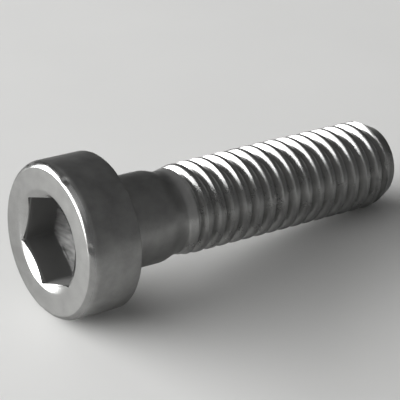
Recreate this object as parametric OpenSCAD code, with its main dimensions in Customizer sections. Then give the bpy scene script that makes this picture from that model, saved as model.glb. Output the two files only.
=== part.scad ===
// Low-head hex socket cap screw with a partly threaded shank, in millimetres.
// The screw is drawn along its own axis with the centre of the head's face at the origin,
// then laid on the plane Z = 0, where it rests on the rear edge of its head and on the last
// full thread crest. The head is towards -X, the tip towards +X, and the origin is under the
// middle of the outline.

/* [Head] */
// Diameter of the head
head_d = 9.9; // [9:0.1:12]
// Height of the head
head_h = 3.6; // [3.4:0.1:6]
// Radius of the rounded edge round the head's face
edge_r = 0.5; // [0.2:0.05:0.8]
// Radius of the rounded edge round the bearing face
rear_r = 0.12; // [0.05:0.01:0.4]

/* [Socket] */
// Width of the hex key across its flats
key_w = 5; // [4:0.1:5.4]
// Clearance across the flats between the key and the socket
key_gap = 0.25; // [0.02:0.01:0.3]
// Depth of the hex, from the head's face
socket_depth = 2.4; // [1.8:0.1:3]
// Included angle of the pointed floor of the socket, in degrees
floor_angle = 140; // [120:1:170]
// Diameter of the countersink at the mouth of the socket
mouth_d = 6.4; // [6.2:0.1:8]
// Included angle of the countersink, in degrees
mouth_angle = 130; // [110:1:160]
// Turn of the hex about the axis of the screw, in degrees
socket_turn = 8; // [0:1:59]

/* [Shank] */
// Length from the bearing face to the tip
length = 22.3; // [16:0.1:40]
// Diameter of the plain shank
shank_d = 5.9; // [5.7:0.01:6.2]
// Radius of the fillet under the head
neck_r = 0.25; // [0.1:0.05:0.4]
// Length of the plain shank at its full diameter
plain_len = 3.8; // [1:0.1:8]
// Length of the taper from the plain shank to the blank of the thread
taper_len = 1.1; // [0.5:0.1:2]
// Diameter of the blank that the thread is rolled on
blank_d = 5.36; // [5.2:0.01:5.5]

/* [Thread] */
// Diameter over the thread crests
thread_d = 5.88; // [5.7:0.01:6]
// Pitch of the thread
pitch = 1; // [0.75:0.05:1.25]
// Turn of the thread's start about the axis of the screw, in degrees
thread_turn = 306; // [0:1:359]
// Turns of all but plain blank before the thread grows
lead_turns = 0.7; // [0:0.1:1.5]
// Turns over which the thread grows out of the blank
run_in = 1; // [0.5:0.25:2]
// Turns over which the groove fades into the chamfer
run_out = 0.75; // [0.5:0.25:2]
// Turns of plain chamfer between the end of the groove and the tip
plain_turns = 0.8; // [0:0.1:1.5]
// Length of the chamfer at the tip
chamfer_len = 1.2; // [0.5:0.1:1.5]
// Diameter of the flat face at the tip
tip_d = 4.8; // [4.4:0.1:5.2]
// Flat faces round one turn of the thread
thread_sides = 48; // [24:4:60]

/* [Hidden] */
steel = [0.62, 0.62, 0.61];
$fn = 96;

// Depth of a 60 degree rolled thread whose crests are not quite filled, and the width of its
// crest and flanks, as shares of the pitch
depth_share = 0.55;
thread_depth = depth_share * pitch;
crest_share = 0.19;
flank_share = depth_share * tan(30);
profile = [0, flank_share, flank_share + crest_share, 2 * flank_share + crest_share];
points_a_turn = len(profile);

head_r = head_d / 2;
crest_r = thread_d / 2;
root_r = crest_r - thread_depth;
blank_r = blank_d / 2;
tip_r = tip_d / 2;
tip_z = head_h + length;
socket_w = key_w + key_gap;
corner_d = socket_w / cos(30);

// The thread's last turn ends just short of the tip, and it has a whole number of turns
end_gap = 0.06;
start_gap = 0.2;
turns = floor((length - plain_len - taper_len - start_gap - end_gap) / pitch);
start_z = tip_z - end_gap - turns * pitch;
shank_end = start_z - start_gap / 2;
// The shank stands a little proud of the blank, and the thread's body reaches back into it
blank_step = 0.02;
overlap_len = 0.4;
overlap_inset = 0.3;
faint = 0.06;
least_groove = 0.4;

// The last crest of full height under the axis is the one that the screw rests on
under_share = (360 - thread_turn) % 360 / 360 + profile[2];
rest_z = start_z + pitch * (floor((tip_z - chamfer_len - start_z) / pitch - under_share) + under_share);
// Tilt at which the rounded rear edge of the head and that crest are level
run = rest_z - (head_h - rear_r);
fall = head_r - rear_r - crest_r;
tilt = atan(fall / run) + asin(rear_r / norm([run, fall]));
lift = rest_z * sin(tilt) + crest_r * cos(tilt);
low_x = edge_r * cos(tilt) - (head_r - edge_r) * sin(tilt) - edge_r;
high_x = tip_z * cos(tilt) + tip_r * sin(tilt);

// Half section of the head and the plain shank, from the axis outwards
module body_section() {
    rear_z = head_h - rear_r;
    neck_x = shank_d / 2 + neck_r;
    difference() {
        union() {
            translate([0, edge_r]) square([head_r, rear_z - edge_r]);
            square([head_r - edge_r, head_h]);
            translate([head_r - edge_r, edge_r]) circle(edge_r);
            translate([0, rear_z]) square([head_r - rear_r, rear_r]);
            translate([head_r - rear_r, rear_z]) circle(rear_r);
            square([neck_x, head_h + neck_r]);
            polygon([
                [0, head_h],
                [shank_d / 2, head_h],
                [shank_d / 2, head_h + plain_len],
                [blank_r + blank_step, head_h + plain_len + taper_len],
                [blank_r + blank_step, shank_end],
                [0, shank_end]
            ]);
        }
        translate([neck_x, head_h + neck_r]) circle(neck_r);
    }
}

// Hex with a pointed floor and a countersunk mouth, open at the head's face
module socket() {
    over = 0.5;
    floor_len = socket_w / 2 / tan(floor_angle / 2);
    mouth_len = mouth_d / 2 / tan(mouth_angle / 2);
    over_r = over * tan(mouth_angle / 2);
    rotate([0, 0, socket_turn]) translate([0, 0, -over])
        cylinder(h = socket_depth + over, d = corner_d, $fn = 6);
    translate([0, 0, socket_depth - over])
        cylinder(h = over, d = socket_w);
    translate([0, 0, socket_depth]) cylinder(h = floor_len, r1 = socket_w / 2, r2 = 0);
    translate([0, 0, -over])
        cylinder(h = over + mouth_len, r1 = mouth_d / 2 + over_r, r2 = 0);
}

// Strength of the thread at a number of turns from its start
function strength(t) =
    max(faint, min(1, (t - lead_turns) / run_in, (turns - plain_turns - t) / run_out));
// Radius of the crests, cut down by the chamfer cone at height z
function cut_r(z) = min(crest_r, tip_r + (tip_z - z) * (crest_r - tip_r) / chamfer_len);
// Surface that the thread grows from: the blank at its start, the chamfer at its end
function base_r(t, z) = t < turns / 2 ? blank_r : cut_r(z);
// A point of the thread: column j round the axis, row m along it
function row_turn(j, m) = floor(m / points_a_turn) + j / thread_sides;
function row_z(j, m) = start_z + pitch * (row_turn(j, m) + profile[m % points_a_turn]);
function is_crest(m) = m % points_a_turn == 1 || m % points_a_turn == 2;
function row_r(j, m) =
    let (t = row_turn(j, m) + profile[m % points_a_turn], z = row_z(j, m), base = base_r(t, z))
    is_crest(m) ? base + strength(t) * (cut_r(z) - base)
    : base - strength(t) * max(base - root_r, least_groove);
function ring_point(j, r, z) =
    let (a = thread_turn + 360 * j / thread_sides)
    [r * cos(a), r * sin(a), z];

// Threaded body as one closed mesh. Its columns follow the helix, so column 0 is one turn
// longer than the rest, and a small step face at each end of the thread closes the seam.
module thread() {
    n = thread_sides;
    last = points_a_turn * (turns - 1);
    extra = points_a_turn;
    inner = [for (j = [0:n - 1]) ring_point(j, blank_r - overlap_inset, shank_end - overlap_len)];
    outer = [for (j = [0:n - 1]) ring_point(j, blank_r - blank_step, shank_end + start_gap / 4)];
    tip = [for (j = [0:n - 1]) ring_point(j, tip_r, tip_z)];
    grid = [
        for (j = [0:n - 1]) for (m = [0:last + (j == 0 ? extra : 0)])
            ring_point(j, row_r(j, m), row_z(j, m))
    ];
    grid_0 = 3 * n;
    function ring(k, j) = k * n + j % n;
    function at(j, m) =
        j == n ? grid_0 + m + extra
        : j == 0 ? grid_0 + m
        : grid_0 + last + 1 + extra + (j - 1) * (last + 1) + m;
    function quad(a, b, c, d) = [[a, b, c], [a, c, d]];
    faces = [
        [for (j = [0:n - 1]) ring(0, j)],
        [for (j = [0:n - 1]) ring(2, n - 1 - j)],
        for (j = [0:n - 1]) each quad(ring(0, j), ring(1, j), ring(1, j + 1), ring(0, j + 1)),
        for (j = [0:n - 1]) each quad(ring(1, j), at(j, 0), at(j + 1, 0), ring(1, j + 1)),
        for (j = [0:n - 1]) for (m = [0:last - 1])
            each quad(at(j, m), at(j, m + 1), at(j + 1, m + 1), at(j + 1, m)),
        for (j = [0:n - 1]) each quad(at(j, last), ring(2, j), ring(2, j + 1), at(j + 1, last)),
        for (m = [0:extra - 1]) [ring(1, 0), at(0, m + 1), at(0, m)],
        for (m = [last:last + extra - 1]) [ring(2, 0), at(0, m), at(0, m + 1)]
    ];
    polyhedron(points = concat(inner, outer, tip, grid), faces = faces, convexity = 10);
}

module screw() {
    color(steel)
        translate([-(low_x + high_x) / 2, 0, lift])
            rotate([0, 90 + tilt, 0])
                union() {
                    difference() {
                        rotate_extrude() body_section();
                        socket();
                    }
                    thread();
                }
}

screw();
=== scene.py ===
"""A low-head hex socket cap screw lying on a pale table, seen from its head's side."""

import math
from types import SimpleNamespace

import bpy
import numpy as np
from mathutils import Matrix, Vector


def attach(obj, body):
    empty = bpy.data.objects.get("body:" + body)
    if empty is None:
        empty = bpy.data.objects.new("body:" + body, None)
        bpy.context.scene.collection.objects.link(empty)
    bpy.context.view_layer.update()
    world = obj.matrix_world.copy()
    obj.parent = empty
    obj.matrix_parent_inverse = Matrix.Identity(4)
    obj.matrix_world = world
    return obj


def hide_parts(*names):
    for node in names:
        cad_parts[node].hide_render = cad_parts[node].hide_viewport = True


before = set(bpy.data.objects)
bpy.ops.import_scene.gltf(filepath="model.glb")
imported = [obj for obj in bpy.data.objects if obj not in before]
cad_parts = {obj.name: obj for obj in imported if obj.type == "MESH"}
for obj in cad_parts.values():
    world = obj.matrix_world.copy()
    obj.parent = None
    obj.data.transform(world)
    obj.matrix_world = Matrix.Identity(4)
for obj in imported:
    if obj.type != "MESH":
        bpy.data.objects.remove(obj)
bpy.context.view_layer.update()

# Sizes of the screw in millimetres, in its own frame: a runs along the axis from the head's
# face to the tip, and r runs out from the axis
HEAD_R = 4.945
HEAD_H = 3.6
FACE_A = 0.01
# The front edge is an arc that meets the face in a corner. Its turn is in degrees from +a.
EDGE_R = 0.7
EDGE_TURN = 152
REAR_R = 0.12

SOCKET_W = 5.25
SOCKET_DEPTH = 2.4
SOCKET_TURN = math.radians(8)
FLOOR_SLOPE = math.tan(math.radians(20))
FLOOR_FILLET = 0.12
CORNER_R = 0.16
# The hex widens at its lip, most of all at its corners
FLARE = 0.04
CORNER_FLARE = 0.03
LIP_R = 0.05
MOUTH_R = 3.24
MOUTH_SLOPE = math.tan(math.radians(25))

SHANK_R = 2.95
NECK_R = 0.25
PLAIN_END = HEAD_H + 3.8
TAPER_SOFT = 0.15
TAPER_END = PLAIN_END + 1.1
BLANK_R = 2.68
TIP_A = HEAD_H + 22.3
TIP_R = 2.4
TIP_EDGE = 0.07
CHAMFER = 1.2

CREST_R = 2.94
PITCH = 1.0
DEPTH = 0.55 * PITCH
ROOT_R = CREST_R - DEPTH
TURNS = 18
START_GAP = 0.02
END_GAP = 0.06
THREAD_A = TIP_A - END_GAP - TURNS * PITCH
THREAD_TURN = math.radians(306)
# Turns over which the thread waits, grows, fades and stays away at the tip
LEAD_TURNS = 0.6
RUN_IN = 1.4
RUN_OUT = 0.55
PLAIN_TURNS = 0.6
# The first crests are lower by this much, and the rest come up to full height over these turns
FIRST_CUT = 0.05
CUT_TURNS = 10

# Sizes of the part's source that set how the screw lies
CAD_HEAD_R = 4.95
CAD_EDGE_R = 0.5
CAD_CREST_W = 0.19

COLUMNS = 216
HEX_SIDES = 6
MM = 0.001


def resting_place():
    """How the screw lies on the rear edge of its head and on its last full crest: the tilt of
    its axis, down towards the tip, and the height and X of the centre of its face."""
    flank_w = DEPTH * math.tan(math.radians(30))
    under = 1 - THREAD_TURN / (2 * math.pi) + (flank_w + CAD_CREST_W) / PITCH
    full_turns = math.floor((TIP_A - CHAMFER - THREAD_A) / PITCH - under)
    rest_a = THREAD_A + PITCH * (full_turns + under)
    run = rest_a - (HEAD_H - REAR_R)
    fall = CAD_HEAD_R - REAR_R - CREST_R
    tilt = math.atan(fall / run) + math.asin(REAR_R / math.hypot(run, fall))
    lift = rest_a * math.sin(tilt) + CREST_R * math.cos(tilt)
    low_x = CAD_EDGE_R * (math.cos(tilt) - 1) - (CAD_HEAD_R - CAD_EDGE_R) * math.sin(tilt)
    high_x = TIP_A * math.cos(tilt) + TIP_R * math.sin(tilt)
    return tilt, lift, -(low_x + high_x) / 2


TILT, LIFT, SLIDE = resting_place()


def to_row(a, x, y):
    """Points of the screw's own frame, in millimetres, as points of the row frame in metres."""
    c, s = math.cos(TILT), math.sin(TILT)
    up = -x
    return np.stack([SLIDE + a * c + up * s, y, LIFT - a * s + up * c], -1) * MM


def ring(angles, a, r):
    """A row with the same a and r all round."""
    return np.full_like(angles, a), np.full_like(angles, r)


def arc(centre_a, centre_r, radius, start, end, steps):
    """Points of an arc in the (a, r) half plane. Angle 0 points along a, 90 degrees outwards."""
    angles = np.radians(np.linspace(start, end, steps + 1))
    return [(centre_a + radius * math.cos(t), centre_r + radius * math.sin(t)) for t in angles]


def ease(share):
    """A share from 0 to 1 that starts and ends softly."""
    share = np.clip(share, 0, 1)
    return share * share * (3 - 2 * share)


def soft_min(a, b, blend):
    """The smaller of two radii, with a small fillet where they cross."""
    h = np.clip(0.5 + (b - a) / (2 * blend), 0, 1)
    return b + (a - b) * h - blend * h * (1 - h)


def column_angles():
    """Angles of the columns round the axis, closer together at the corners of the hex."""
    crowding = 0.6
    side, u = np.divmod(np.arange(COLUMNS) / (COLUMNS / HEX_SIDES), 1)
    u = u - crowding * np.sin(2 * math.pi * u) / (2 * math.pi)
    return SOCKET_TURN + (side + u) * 2 * math.pi / HEX_SIDES


def hex_radius(angles, width, corner_r):
    """Distance from the axis to the wall of a hex with rounded corners."""
    side = 2 * math.pi / HEX_SIDES
    half = side / 2
    off = (angles - SOCKET_TURN + half) % side - half
    flat = width / 2 / np.cos(half - np.abs(off))
    centre = (width / 2 - corner_r) / math.cos(half)
    inside = np.maximum(corner_r**2 - (centre * np.sin(off)) ** 2, 0)
    rounded = centre * np.cos(off) + np.sqrt(inside)
    reach = math.atan2(corner_r * math.sin(half), centre + corner_r * math.cos(half))
    return np.where(np.abs(off) < reach, rounded, flat)


def socket_rows(angles):
    """Rows from the centre of the socket's floor out to its mouth on the head's face."""
    wall = hex_radius(angles, SOCKET_W, CORNER_R)
    inner = SOCKET_W / 2
    rows = []
    for share in (0.02, 0.15, 0.35, 0.6, 0.85, 0.97):
        floor_a = SOCKET_DEPTH + inner * (1 - share) * FLOOR_SLOPE
        rows.append(ring(angles, floor_a, inner * share))
    wall_end = SOCKET_DEPTH - FLOOR_FILLET
    for t in np.radians([0, 30, 60, 90]):
        a = np.full_like(angles, wall_end + FLOOR_FILLET * math.cos(t))
        rows.append((a, wall - FLOOR_FILLET * (1 - math.sin(t))))
    corner = (wall - inner) / (wall.max() - inner)
    flare = FLARE + CORNER_FLARE * corner
    mouth = wall + flare
    lip_a = (MOUTH_R - mouth) * MOUTH_SLOPE
    for share in (0.3, 0.6, 0.85):
        rows.append((wall_end + (lip_a + LIP_R - wall_end) * share, wall + flare * share**3))
    for back, out in ((0.6, 0.05), (0.15, 0.3), (0.0, 0.8)):
        rows.append((lip_a + LIP_R * back, mouth + LIP_R * out))
    mouth_gap = 0.06
    sink_start, sink_end = mouth + LIP_R, MOUTH_R - mouth_gap
    for share in (0.3, 0.6, 0.9):
        r = sink_start + (sink_end - sink_start) * share
        rows.append(((MOUTH_R - r) * MOUTH_SLOPE, r))
    for back, out in ((0.01, -0.03), (0.003, 0.0), (0.0, 0.05)):
        rows.append(ring(angles, FACE_A + back, MOUTH_R + out))
    return rows


def head_points():
    """Half section of the head's face, edges and bearing side, then the shank to its blank."""
    turn = math.radians(EDGE_TURN)
    edge_a, edge_r = FACE_A - EDGE_R * math.cos(turn), HEAD_R - EDGE_R
    flat_r = edge_r + EDGE_R * math.sin(turn)
    rear_a, rear_r = HEAD_H - REAR_R, HEAD_R - REAR_R
    neck_a, neck_r = HEAD_H + NECK_R, SHANK_R + NECK_R
    soft_a = PLAIN_END - TAPER_SOFT
    # Distances that the rows keep from the rounds beside them
    fine, near, wide = 0.03, 0.1, 0.2
    points = [(FACE_A, r) for r in np.linspace(MOUTH_R + wide, flat_r - fine, 5)]
    points += arc(edge_a, edge_r, EDGE_R, EDGE_TURN, 90, 12)
    points += [(a, HEAD_R) for a in np.linspace(edge_a + near, rear_a - near, 8)]
    points += arc(rear_a, rear_r, REAR_R, 90, 0, 6)
    points += [(HEAD_H, r) for r in np.linspace(rear_r - near, neck_r + near, 5)]
    points += arc(neck_a, neck_r, NECK_R, 180, 270, 8)
    points += [(a, SHANK_R) for a in np.linspace(neck_a + wide, soft_a - near, 5)]
    for u in np.linspace(0, 1, 11):
        points.append((soft_a + (TAPER_END - soft_a) * u, SHANK_R - (SHANK_R - BLANK_R) * ease(u)))
    return points


def thread_profile():
    """One pitch of the thread from root to root, as pairs of a share of the pitch and a radius.
    The root is round, the crest has small round edges and dips a little between them."""
    half_crest = 0.12
    flank = math.radians(60)
    root_arc, crest_arc = 0.1516, 0.035
    dip = 0.004
    edge = 0.5 - half_crest
    crest_edge = edge + crest_arc * math.tan(flank / 2)
    right = []
    for t in np.radians([0, 30, 60]):
        right.append((root_arc * math.sin(t), ROOT_R + root_arc * (1 - math.cos(t))))
    for below in (0.36, 0.24, 0.12):
        right.append((edge - below / math.tan(flank), CREST_R - below))
    for t in np.radians([60, 30, 0]):
        share = crest_edge - crest_arc * math.sin(t)
        right.append((share, CREST_R - crest_arc * (1 - math.cos(t))))
    left = [(1 - share, r) for share, r in reversed(right[1:])]
    return right + [(0.5, CREST_R - dip)] + left


def thread_rows(angles):
    """Rows of the thread. Each row climbs with the helix and is held between the thread's ends.
    Rows of the tip's edge and face follow."""
    profile = thread_profile()
    crest_middle = 0.4125
    start_a, end_a = TAPER_END + START_GAP, TIP_A - TIP_EDGE
    # While a crest grows, its middle is lower by this share of its height
    hollow = 0.5
    chamfer_blend = 0.02
    turn = (angles - THREAD_TURN) % (2 * math.pi) / (2 * math.pi)
    rows = []
    for k in range(-1, TURNS + 1):
        for share, radius in profile:
            turned = k + turn + share - 0.5 + crest_middle
            grown = ease((turned - LEAD_TURNS) / RUN_IN)
            kept = ease((TURNS - PLAIN_TURNS - turned) / RUN_OUT)
            a = np.clip(THREAD_A + PITCH * turned, start_a, end_a)
            cone = TIP_R + (TIP_A - a) * (CREST_R - TIP_R) / CHAMFER
            filled = 1 - hollow * (1 - grown) * math.sin(math.pi * share) ** 4
            crest = CREST_R - FIRST_CUT * (1 - ease(turned / CUT_TURNS))
            cap = BLANK_R + grown * (crest - BLANK_R) * filled
            groove = radius + (1 - grown) * (BLANK_R - ROOT_R) + (1 - kept) * DEPTH
            r = soft_min(np.minimum(groove, cap), cone, chamfer_blend)
            rows.append((a, np.where(a <= start_a, BLANK_R, r)))
    for t in np.radians([50, 25, 0]):
        a = TIP_A - TIP_EDGE / 2 * (1 - math.cos(t))
        rows.append(ring(angles, a, TIP_R - TIP_EDGE * (1 - math.sin(t))))
    return rows + [ring(angles, TIP_A, TIP_R * share) for share in (0.8, 0.5, 0.2)]


def edge_nicks():
    """Nicks that the photograph shows, and a few like them round the rest of the head: place
    along the axis, degrees from the top towards -Y, depth, reach along and reach round."""
    nicks = [(0.25, 16, 0.05, 0.13, 0.2), (0.15, 70, 0.03, 0.1, 0.25), (3.5, 25, 0.06, 0.12, 0.25),
             (0.75, 27, 0.015, 0.3, 0.35)]
    rng = np.random.default_rng(6)
    for place in (0.2, 3.5):
        for turn in rng.uniform(95, 330, 5):
            nicks.append((place, turn, rng.uniform(0.02, 0.05), 0.12, rng.uniform(0.15, 0.3)))
    return nicks


def dent(rows, angles, nicks):
    """Presses nicks into the rows at the head's edges, in from the side and from the face."""
    rim_r = HEAD_R - 1
    for i, (a, r) in enumerate(rows):
        for place, turn, depth, reach_a, reach_t in nicks:
            off = (angles - math.radians(turn + 180) + math.pi) % (2 * math.pi) - math.pi
            press = depth * np.exp(-((a - place) / reach_a) ** 2 - (off * HEAD_R / reach_t) ** 2)
            press = press * (r > rim_r)
            a, r = a + press * (a < HEAD_H / 2), r - press
        rows[i] = a, r


def screw_shell():
    """The whole skin of the screw as points of its own frame, in millimetres, and faces. Where
    the thread's start is crossed, each row joins the row one pitch further on."""
    digits = 6
    angles = column_angles()
    body = socket_rows(angles) + [ring(angles, a, r) for a, r in head_points()]
    dent(body, angles, edge_nicks())
    points, index, faces = [], {}, []

    def vertex(a, r, t):
        place = tuple(round(value, digits) for value in (a, r * math.cos(t), r * math.sin(t)))
        if place not in index:
            index[place] = len(points)
            points.append(place)
        return index[place]

    def face(*corners):
        kept = [c for i, c in enumerate(corners) if c != corners[i - 1]]
        if len(set(kept)) > 2:
            faces.append(kept)

    grid = [[vertex(*corner) for corner in zip(a, r, angles)]
            for a, r in body + thread_rows(angles)]
    floor_point = vertex(SOCKET_DEPTH + SOCKET_W / 2 * FLOOR_SLOPE, 0.0, 0.0)
    tip_point = vertex(TIP_A, 0.0, 0.0)
    seam = int(np.argmin((angles - THREAD_TURN) % (2 * math.pi)))
    rows_a_turn = len(thread_profile())
    first = len(body)
    last = first + rows_a_turn * (TURNS + 2) - 1
    for j in range(COLUMNS):
        k = (j + 1) % COLUMNS
        shift = rows_a_turn if k == seam else 0
        face(floor_point, grid[0][j], grid[0][k])
        for start, end, step in ((0, first, 0), (first, last - shift, shift),
                                 (last, len(grid) - 1, 0)):
            for i in range(start, end):
                face(grid[i][j], grid[i + 1][j], grid[i + 1 + step][k], grid[i + step][k])
        face(grid[-1][j], tip_point, grid[-1][k])
    return np.array(points), faces


def build_screw():
    """The screw as one mesh, which keeps each point's own place for its material."""
    points, faces = screw_shell()
    sharp_angle = math.radians(50)
    mesh = bpy.data.meshes.new("screw_body")
    mesh.from_pydata(to_row(*points.T).tolist(), [], faces)
    mesh.validate()
    mesh.shade_smooth()
    mesh.set_sharp_from_angle(angle=sharp_angle)
    own = mesh.attributes.new("own_place", "FLOAT_VECTOR", "POINT")
    own.data.foreach_set("vector", points.astype(np.float32).ravel())
    obj = bpy.data.objects.new("screw_body", mesh)
    bpy.context.scene.collection.objects.link(obj)
    return obj


class Nodes:
    """Short calls for laying out the nodes of a material or of the world."""

    def __init__(self, owner):
        owner.use_nodes = True
        self.tree = owner.node_tree

    def add(self, kind, inputs=None, **settings):
        node = self.tree.nodes.new(kind)
        for key, value in settings.items():
            setattr(node, key, value)
        for key, value in (inputs or {}).items():
            self.put(node.inputs[key], value)
        return node

    def put(self, socket, value):
        if isinstance(value, bpy.types.NodeSocket):
            self.tree.links.new(value, socket)
        else:
            socket.default_value = value

    def math(self, operation, a, b=0.0, c=0.0):
        return self.add("ShaderNodeMath", {0: a, 1: b, 2: c}, operation=operation).outputs[0]

    def times(self, a, b):
        return self.math("MULTIPLY", a, b)

    def outside(self, mask):
        return self.math("SUBTRACT", 1.0, mask)

    def layers(self, base, *layers):
        """The base with the amount of each layer added where the layer's mask is 1."""
        for mask, amount in layers:
            base = self.math("MULTIPLY_ADD", mask, amount, base)
        return base

    def ramp(self, value, low, high, out_low=0.0, out_high=1.0):
        return self.add("ShaderNodeMapRange", {
            "Value": value, "From Min": low, "From Max": high, "To Min": out_low,
            "To Max": out_high}, interpolation_type="SMOOTHSTEP").outputs[0]

    def noise(self, vector, scale, detail=3.0, rough=0.5, stretch=(1, 1, 1)):
        place = self.add("ShaderNodeMapping", {"Vector": vector, "Scale": stretch})
        node = self.add("ShaderNodeTexNoise", {
            "Vector": place.outputs[0], "Scale": scale, "Detail": detail, "Roughness": rough})
        return node.outputs["Fac"]

    def grey(self, shade):
        """A grey that is a trace warmer than neutral."""
        warmth = 0.985
        return self.add("ShaderNodeCombineColor", {
            "Red": shade, "Green": shade, "Blue": self.times(shade, warmth)}).outputs[0]


def steel_zones(m, own):
    """Masks of the screw's parts, from each point's own place in millimetres. The last one,
    right_side, is a distance from the axis towards the photograph's right."""
    split = m.add("ShaderNodeSeparateXYZ", {"Vector": own})
    along, down, y = (split.outputs[key] for key in "XYZ")
    radius = m.math("SQRT", m.math("MULTIPLY_ADD", y, y, m.times(down, down)))
    # The socket and its mouth lie within this radius, and no deeper than this
    bore, blur = 3.4, 0.1
    inside = m.times(m.ramp(radius, bore + blur, bore), m.ramp(along, bore + blur, bore))
    threaded = m.ramp(along, TAPER_END, THREAD_A + PITCH)
    behind = m.ramp(along, 0.2, 0.5)
    skin = m.times(m.ramp(along, 0.02, 0.07), m.outside(inside))
    tip = m.ramp(along, TIP_A - CHAMFER, TIP_A - CHAMFER / 2)
    groove = m.times(threaded, m.ramp(radius, CREST_R - 0.06, CREST_R - 0.24))
    groove = m.times(groove, m.outside(tip))
    return SimpleNamespace(
        threaded=threaded,
        behind=behind,
        skin=skin,
        tip=tip,
        groove=groove,
        forged=m.times(behind, m.outside(threaded)),
        face=m.times(m.ramp(along, 0.3, 0.1), m.outside(skin)),
        # Painted shade in the roots of the thread
        root=m.times(groove, m.ramp(radius, ROOT_R + 0.16, ROOT_R + 0.04)),
        socket=m.times(inside, m.ramp(along, 0.22, 0.42)),
        floor=m.times(inside, m.ramp(along, SOCKET_DEPTH - 0.15, SOCKET_DEPTH - 0.05)),
        floor_point=m.ramp(radius, 1.6, 0.9),
        right_side=m.layers(0.0, (down, -0.42), (y, -0.91)),
    )


def steel_shade(m, own, zones, mottle, grain):
    """Brightness of the steel. The socket holds painted shade: it is darker, with patches on its
    floor.
    """
    darkest = 0.06
    # The face is brighter than the sides, and a painted sheen brightens it more towards the right
    face_tone_and_painted_sheen = m.layers(0.05, (zones.right_side, 0.015))
    shade = m.layers(
        0.285, (mottle, 0.2), (grain, 0.05), (zones.face, face_tone_and_painted_sheen), (zones.skin, -0.09),
        (zones.tip, -0.1), (zones.threaded, -0.04), (zones.groove, 0.18), (zones.root, -0.19))
    patches = m.noise(own, 1.4, detail=2, stretch=(1, 2, 0.6))
    floor_shade = m.layers(-0.26, (patches, 0.5), (zones.floor_point, 0.25))
    # Painted shade in the socket: far darker than the rest, with a patchy floor that is lighter at
    # its centre
    painted_socket_shade = m.math("MAXIMUM", m.layers(0.2, (zones.floor, floor_shade)), darkest)
    return m.layers(m.times(shade, m.outside(zones.socket)), (zones.socket, painted_socket_shade))


def steel_bump(m, own):
    """Fine lines along the screw, and a finer grain."""
    lines = m.noise(own, 9, detail=2, stretch=(0.12, 1, 1))
    fine = m.noise(own, 30, detail=2, rough=0.6)
    return m.add("ShaderNodeBump", {
        "Height": m.layers(0.0, (fine, 0.35), (lines, 0.5)), "Strength": 0.25,
        "Distance": 0.01 * MM}).outputs[0]


def steel_material():
    """Stainless steel: satin where it was forged, brighter where the thread was rolled."""
    material = bpy.data.materials.new("stainless_steel")
    m = Nodes(material)
    shader = m.tree.nodes["Principled BSDF"]
    own = m.add("ShaderNodeAttribute", attribute_name="own_place").outputs["Vector"]
    zones = steel_zones(m, own)
    mottle = m.noise(own, 1.1, detail=4)
    grain = m.noise(own, 14, rough=0.6)
    film = m.times(zones.behind, m.outside(zones.socket))
    film = m.times(film, m.layers(0.05, (zones.threaded, 0.15)))
    gloss = m.layers(0.14, (mottle, 0.08), (zones.forged, 0.2), (zones.threaded, 0.08),
                     (grain, 0.05), (zones.socket, 0.3))
    m.put(shader.inputs["Base Color"], m.grey(steel_shade(m, own, zones, mottle, grain)))
    m.put(shader.inputs["Metallic"], m.outside(film))
    m.put(shader.inputs["Roughness"], gloss)
    m.put(shader.inputs["Normal"], steel_bump(m, own))
    shader.inputs["Specular Tint"].default_value = (0.55, 0.55, 0.55, 1)
    return material


def table_material():
    """A matt pale table, with painted shade that darkens it towards the camera's right."""
    material = bpy.data.materials.new("table")
    m = Nodes(material)
    shader = m.tree.nodes["Principled BSDF"]
    place = m.add("ShaderNodeTexCoord").outputs["Object"]
    split = m.add("ShaderNodeSeparateXYZ", {"Vector": place})
    # Painted shade: the table's grey falls from left_shade to right_shade over fade_length
    across = m.layers(0.0, (split.outputs["Y"], -1.0), (split.outputs["X"], 0.6))
    left_shade, right_shade, fade_length = 0.7, 0.35, 0.1
    shade = m.ramp(across, 0.0, fade_length, left_shade, right_shade)
    shade = m.layers(shade, (m.noise(place, 90), 0.04))
    m.put(shader.inputs["Base Color"], m.grey(shade))
    shader.inputs["Roughness"].default_value = 0.85
    return material


def add_table():
    """The plain table top that the screw lies on."""
    half = 2.0
    mesh = bpy.data.meshes.new("table")
    mesh.from_pydata([(-half, -half, 0), (half, -half, 0), (half, half, 0), (-half, half, 0)],
                     [], [(0, 1, 2, 3)])
    table = bpy.data.objects.new("table", mesh)
    bpy.context.scene.collection.objects.link(table)
    mesh.materials.append(table_material())


def direction(azimuth, elevation):
    """Unit vector at an azimuth from +X towards +Y and an elevation, both in degrees."""
    a, e = math.radians(azimuth), math.radians(elevation)
    return Vector((math.cos(e) * math.cos(a), math.cos(e) * math.sin(a), math.sin(e)))


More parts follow.
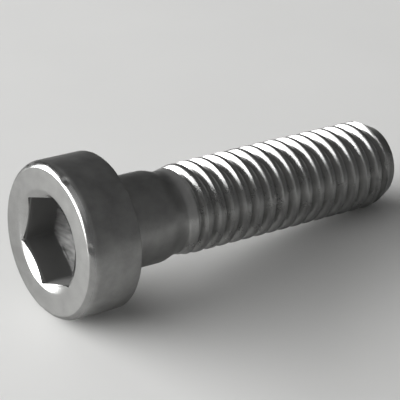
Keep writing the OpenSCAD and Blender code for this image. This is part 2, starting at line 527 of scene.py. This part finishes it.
def add_lamp(name, azimuth, elevation, distance, width, height, power):
    """A soft lamp aimed at the screw, with its sizes in metres and its power in watts."""
    data = bpy.data.lights.new(name, "AREA")
    data.shape = "RECTANGLE"
    data.size = width
    data.size_y = height
    data.energy = power
    lamp = bpy.data.objects.new(name, data)
    place = direction(azimuth, elevation) * distance
    lamp.location = place
    lamp.rotation_euler = (-place).to_track_quat("-Z", "Y").to_euler()
    bpy.context.scene.collection.objects.link(lamp)


def add_room():
    """The light of the room, which falls off from one side to the other."""
    world = bpy.data.worlds.new("room")
    bpy.context.scene.world = world
    w = Nodes(world)
    background = w.tree.nodes["Background"]
    dim_side, brightest, dimmest = (0.894, 0.447, 0), 0.255, 0.082
    place = w.add("ShaderNodeTexCoord").outputs["Generated"]
    across = w.add("ShaderNodeVectorMath", {0: place, 1: dim_side}, operation="DOT_PRODUCT")
    strength = w.add("ShaderNodeMapRange", {
        "Value": across.outputs["Value"], "From Min": -1.0, "From Max": 1.0,
        "To Min": brightest, "To Max": dimmest})
    w.put(background.inputs["Strength"], strength.outputs[0])
    background.inputs["Color"].default_value = (1.0, 1.0, 1.0, 1)


def add_lights():
    """The window's low light, a faint fill from above and the room's own light."""
    add_lamp("window", azimuth=143, elevation=18, distance=0.7, width=1.1, height=0.43, power=14.8)
    add_lamp("fill", azimuth=195, elevation=60, distance=0.6, width=0.5, height=0.5, power=0.3)
    add_room()


def add_camera():
    """The photograph's view: the camera looks down at the screw from its head's side."""
    azimuth, elevation, distance = 53.889, -28.982, 0.11429
    aim = Vector((-0.0013974, 0.0, 0.0044396))
    focal_pixels, frame_pixels, sensor = 1799.52, 400, 36.0
    look = direction(azimuth, elevation)
    data = bpy.data.cameras.new("camera")
    data.sensor_width = sensor
    data.lens = focal_pixels / frame_pixels * sensor
    data.clip_start = 0.005
    camera = bpy.data.objects.new("camera", data)
    camera.location = aim - look * distance
    camera.rotation_euler = look.to_track_quat("-Z", "Y").to_euler()
    bpy.context.scene.collection.objects.link(camera)
    bpy.context.scene.camera = camera


add_camera()
screw = build_screw()
screw.data.materials.append(steel_material())
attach(screw, "root")
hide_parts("screw")
add_table()
add_lights()
bpy.context.scene.view_settings.view_transform = "Standard"
